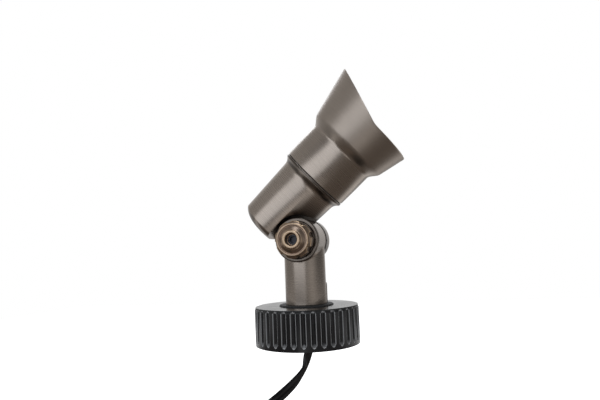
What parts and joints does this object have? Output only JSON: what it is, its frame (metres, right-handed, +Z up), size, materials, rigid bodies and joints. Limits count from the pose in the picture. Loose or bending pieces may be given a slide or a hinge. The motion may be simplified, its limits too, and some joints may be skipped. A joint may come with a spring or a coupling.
{
  "type": "landscape flood light",
  "caption": "Adjustable garden flood light: ribbed stake cap, stem with a clamp knob knuckle, tilting lamp housing and slanted glare hood.",
  "frame": {"origin": "centre of the stake cap's lower rim, where the cap goes over the stake", "axes": "+Z up along the stem; the clamp knob is on the -Y side, the pivot runs along Y, and the head points up towards +X"},
  "size_m": [0.2323, 0.1179, 0.2896],
  "materials": {
    "cap_plastic": "moulded black, satin",
    "black_rubber": "matt black",
    "gunmetal": "brushed gunmetal bronze under lacquer",
    "antique_brass": "darkened, rubbed bright on its edges",
    "brass_thread": "turned",
    "zinc_steel": "zinc plated",
    "lead_insulation": "extruded",
    "connector_plastic": "moulded",
    "ceramic": "fired ceramic",
    "lamp_glass": "clear",
    "reflector_coat": "dichroic",
    "lens_glass": "clear, tempered",
    "cord_jacket": "black vinyl"
  },
  "bodies": {
    "base": {"stake_cap": "cap_plastic", "base_gasket": "black_rubber", "threaded_nipple": "brass_thread", "lock_washer": "zinc_steel", "lock_nut": "brass_thread", "cord_grip": "black_rubber", "stem": "gunmetal", "stem_set_screw": "zinc_steel", "stem_leads": "lead_insulation", "splice_connectors": "connector_plastic", "cord": "cord_jacket", "cord_coil": "cord_jacket", "coil_tie": "cord_jacket", "lead_ends": "cord_jacket"},
    "head": {"rear_housing": "gunmetal", "housing_o_ring": "black_rubber", "pivot_bolt": "zinc_steel", "pivot_o_ring": "black_rubber", "lamp_socket": "ceramic", "socket_contacts": "brass_thread", "socket_screws": "zinc_steel", "socket_leads": "lead_insulation", "lamp_base": "ceramic", "lamp_pins": "zinc_steel", "lamp_capsule": "lamp_glass", "lamp_reflector": "reflector_coat", "lamp_front_glass": "lamp_glass"},
    "clamp_disc": {"clamp_washer": "gunmetal"},
    "knob": {"clamp_knob": "antique_brass"},
    "lens_pack": {"lens": "lens_glass", "lens_gasket": "black_rubber", "lens_retainer": "zinc_steel"},
    "hood": {"glare_hood": "gunmetal"}
  },
  "joints": [
    {"name": "knuckle_tilt", "type": "hinge", "parent": "base", "child": "head", "pos_m": [0, 0, 0.0822], "axis": [0, -1, 0], "range_deg": [-87, 20]},
    {"name": "knob_travel", "type": "slide", "parent": "head", "child": "clamp_disc", "axis": [0, -1, 0], "range_m": [0, 0.0025]},
    {"name": "knob_turn", "type": "hinge", "parent": "clamp_disc", "child": "knob", "pos_m": [0, 0, 0.0822], "axis": [0, -1, 0], "range_deg": [0, 720]},
    {"name": "hood_travel", "type": "slide", "parent": "head", "child": "lens_pack", "axis": [0.745, 0, 0.6671], "range_m": [0, 0.0015]},
    {"name": "hood_turn", "type": "hinge", "parent": "lens_pack", "child": "hood", "pos_m": [-0.02001, 0, 0.10455], "axis": [0.745, 0, 0.6671], "range_deg": [0, 360]}
  ],
  "couplings": [
    {"joint": "knob_turn", "follows": "knob_travel", "rad_per_m": 5026.5},
    {"joint": "hood_travel", "follows": "hood_turn", "m_per_rad": 0.00023873}
  ]
}
